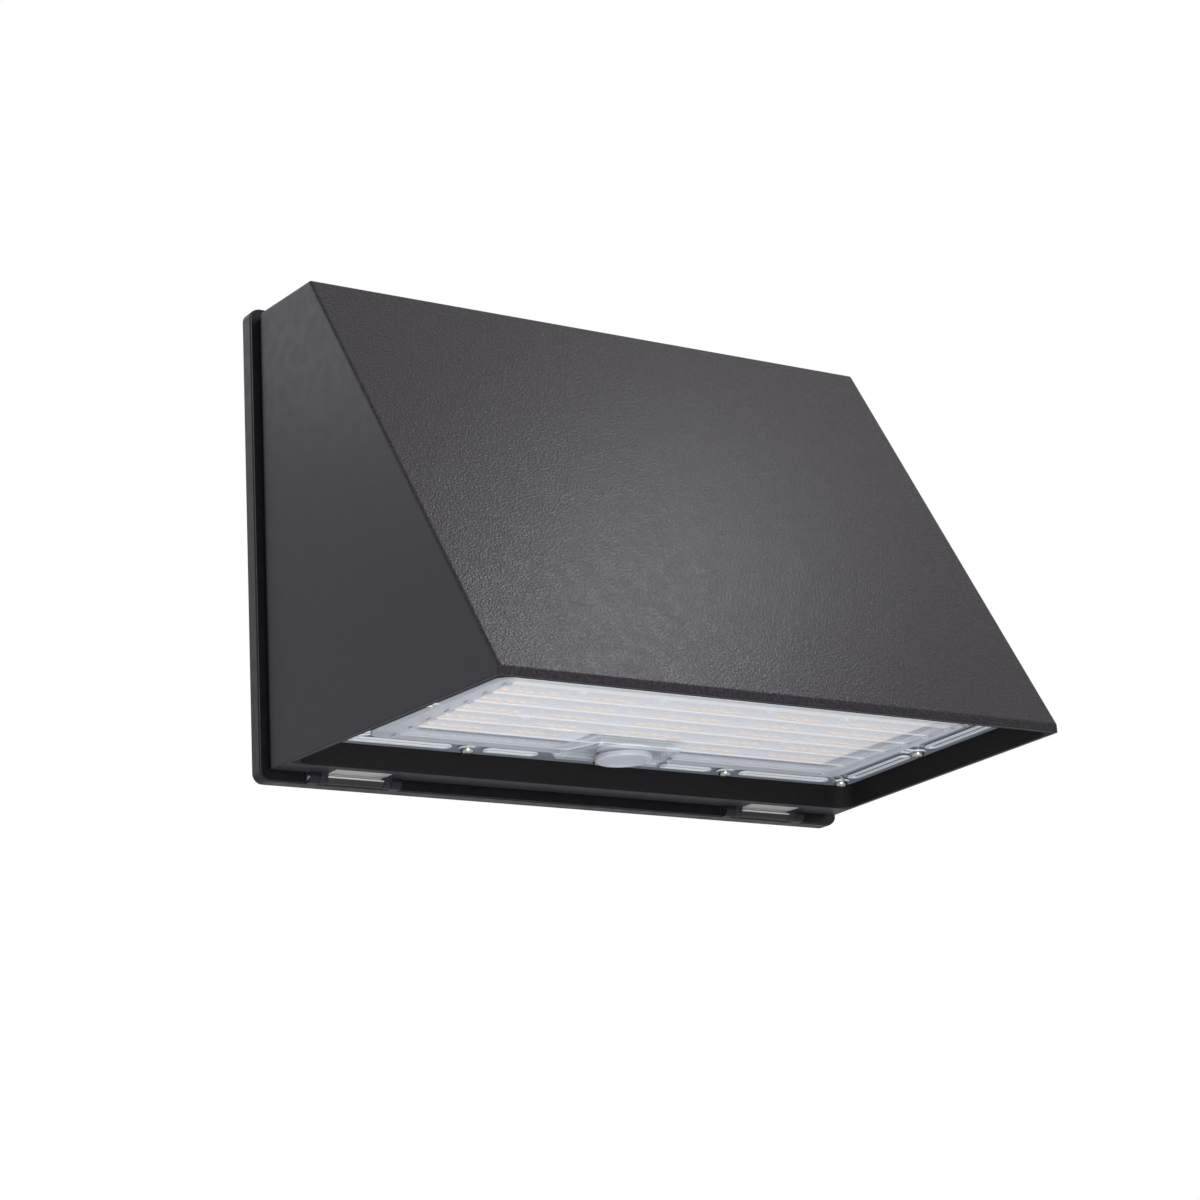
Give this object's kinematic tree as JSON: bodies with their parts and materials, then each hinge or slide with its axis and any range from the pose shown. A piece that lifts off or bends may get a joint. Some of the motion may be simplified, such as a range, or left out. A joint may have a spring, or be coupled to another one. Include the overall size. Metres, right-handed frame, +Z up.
{
  "type": "wall pack light",
  "caption": "Wedge-shaped outdoor wall light whose cast front housing hinges down from a shallow back box, with a ribbed clear lens underneath.",
  "frame": {"origin": "middle of the back box's rear face, on the wall, between the two junction box slots", "axes": "+X along the wall, +Y into the wall (the light stands out toward -Y), +Z up"},
  "size_m": [0.337, 0.206, 0.238],
  "materials": {
    "cast_housing": "dark bronze powder coat on die-cast aluminium",
    "black_rubber": "smooth moulded silicone rubber",
    "foam": "closed cell foam",
    "stainless": "bright stainless strip",
    "zinc_screw": "bright zinc plate",
    "clear_cover": "clear moulded polycarbonate",
    "frosted_cap": "frosted moulded polycarbonate",
    "white_board": "white solder mask",
    "chip_phosphor": "yellow phosphor over a white body",
    "white_plastic": "moulded nylon",
    "green_board": "green solder mask",
    "thermal_grey": "filled silicone sheet",
    "driver_case": "white painted sheet case",
    "black_plastic": "potted moulded case",
    "lead_insulation": "extruded insulation",
    "green_screw": "green passivated",
    "cell_resin": "tinted resin"
  },
  "bodies": {
    "wall_side": {"back_box": "cast_housing", "housing_gasket": "black_rubber", "wall_gasket": "foam", "wire_grommet": "black_rubber", "ground_screw": "green_screw", "hinge_pins": "stainless"},
    "front": {"front_housing": "cast_housing", "hinge_plates": "stainless", "cover_screws": "zinc_screw", "cover_screw_seals": "black_rubber", "cover_screw_nuts": "zinc_screw", "lens": "clear_cover", "lens_gasket": "black_rubber", "lens_screws": "zinc_screw", "thermal_pad": "thermal_grey", "led_board": "white_board", "led_chips": "chip_phosphor", "led_board_screws": "zinc_screw", "led_connector": "white_plastic", "sensor_cap": "frosted_cap", "sensor_ring": "white_plastic", "sensor_holder": "white_plastic", "sensor_board": "green_board", "photocell": "cell_resin", "driver": "driver_case", "driver_screws": "zinc_screw", "surge_protector": "black_plastic", "surge_protector_screws": "zinc_screw", "terminal_block": "white_plastic", "terminal_screws": "zinc_screw", "supply_leads": "lead_insulation", "led_leads": "lead_insulation", "lead_grommet": "black_rubber"}
  },
  "joints": [
    {"name": "housing_hinge", "type": "hinge", "parent": "wall_side", "child": "front", "pos_m": [0, -0.0103, -0.1158], "axis": [1, 0, 0], "range_deg": [0, 90]}
  ]
}
